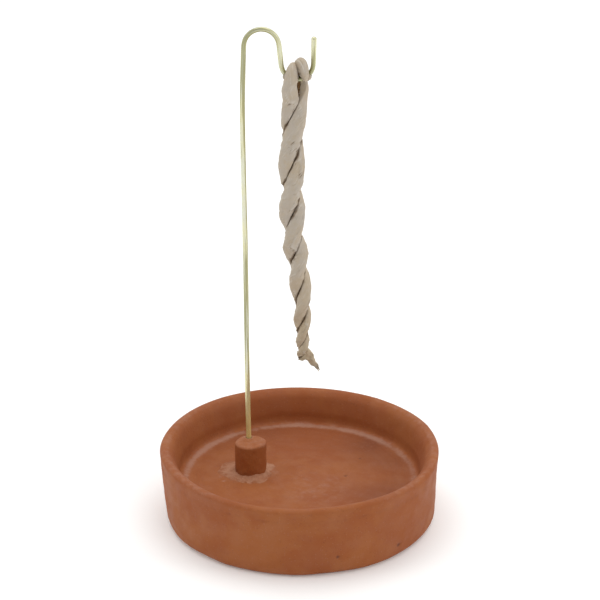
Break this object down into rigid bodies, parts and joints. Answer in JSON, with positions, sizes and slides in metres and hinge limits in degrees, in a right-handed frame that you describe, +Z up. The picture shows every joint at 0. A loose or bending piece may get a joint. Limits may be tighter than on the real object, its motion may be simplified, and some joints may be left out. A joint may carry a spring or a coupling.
{
  "type": "rope incense burner",
  "caption": "Terracotta dish with a clay post, a bent wire hanger in it and a twisted paper rope of incense hung from the hook over the dish.",
  "frame": {"origin": "centre of the dish's underside, on the surface that it stands on", "axes": "+Z up along the dish's axis; the hanger's arch and hook lie in an upright plane parallel to X, with the clay post on the -X side; -Y is the front"},
  "size_m": [0.1, 0.1, 0.1809],
  "materials": {
    "terracotta": "unglazed, matt, fired red-brown clay",
    "slip": "dry pale slip, matt and smeared",
    "yellow_wire": "bright pale yellow plating, drawn wire",
    "handmade_paper": "fibrous undyed handmade paper, matt, creased",
    "incense_powder": "ground herbs and wood powder, matt"
  },
  "bodies": {
    "dish": {"dish": "terracotta", "wire_boss": "terracotta", "slip_fillet": "slip"},
    "hanger": {"wire_hanger": "yellow_wire"},
    "rope": {"paper_wrap": "handmade_paper", "incense_core": "incense_powder"}
  },
  "joints": [
    {"name": "hanger_turn", "type": "hinge", "parent": "dish", "child": "hanger", "pos_m": [-0.01849, 0.00758, 0.0264], "axis": [0, 0, 1], "continuous": true},
    {"name": "rope_swing", "type": "hinge", "parent": "hanger", "child": "rope", "pos_m": [-0.00091, 0.00758, 0.16216], "axis": [1, 0, 0], "range_deg": [-45, 45]}
  ]
}
